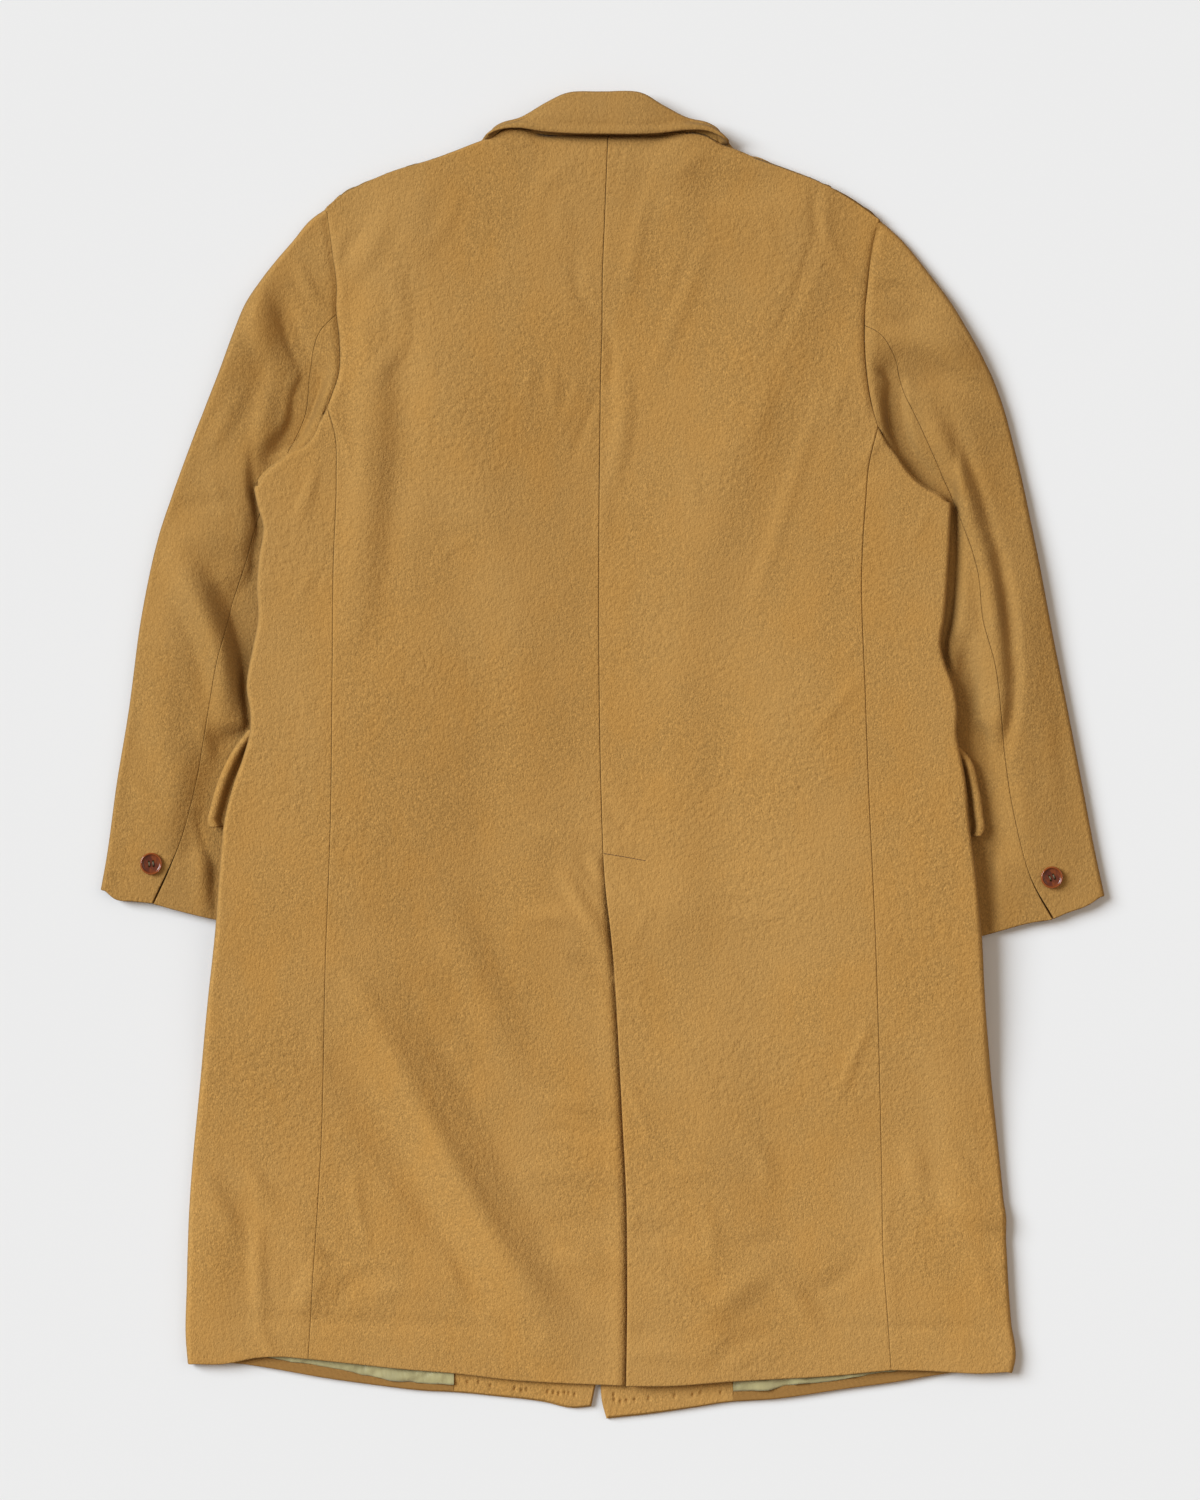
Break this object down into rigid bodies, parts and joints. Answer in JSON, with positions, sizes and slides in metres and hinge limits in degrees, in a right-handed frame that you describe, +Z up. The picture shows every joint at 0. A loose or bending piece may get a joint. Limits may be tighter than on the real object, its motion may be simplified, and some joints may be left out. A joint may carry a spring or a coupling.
{
  "type": "wool overcoat",
  "caption": "Long wool overcoat laid flat face down, with turned-down collar, set-in sleeves, side pocket flaps and an open centre back vent.",
  "frame": {"origin": "middle of the coat's outline, on the surface that it lies on", "axes": "+Y from the hem to the collar, +Z up out of the coat's back, +X towards the wearer's right"},
  "size_m": [0.903, 1.1933, 0.0229],
  "materials": {
    "camel_wool": "brushed wool melton with a short nap, matte",
    "sage_lining": "thin satin lining with a soft sheen",
    "brown_horn": "polished mottled horn"
  },
  "bodies": {
    "root": {"back_left": "camel_wool", "back_right": "camel_wool", "front_left": "camel_wool", "front_right": "camel_wool", "sleeve_top_left": "camel_wool", "sleeve_top_right": "camel_wool", "sleeve_under_left": "camel_wool", "sleeve_under_right": "camel_wool", "collar": "camel_wool", "lapel_left": "camel_wool", "lapel_right": "camel_wool", "pocket_flap_left": "camel_wool", "pocket_flap_right": "camel_wool", "facing_left": "camel_wool", "facing_right": "camel_wool", "hem_band_left": "camel_wool", "hem_band_right": "camel_wool", "lining_left": "sage_lining", "lining_right": "sage_lining", "cuff_button_left": "brown_horn", "cuff_button_right": "brown_horn", "front_button_1": "brown_horn", "front_button_2": "brown_horn", "front_button_3": "brown_horn"}
  },
  "joints": []
}
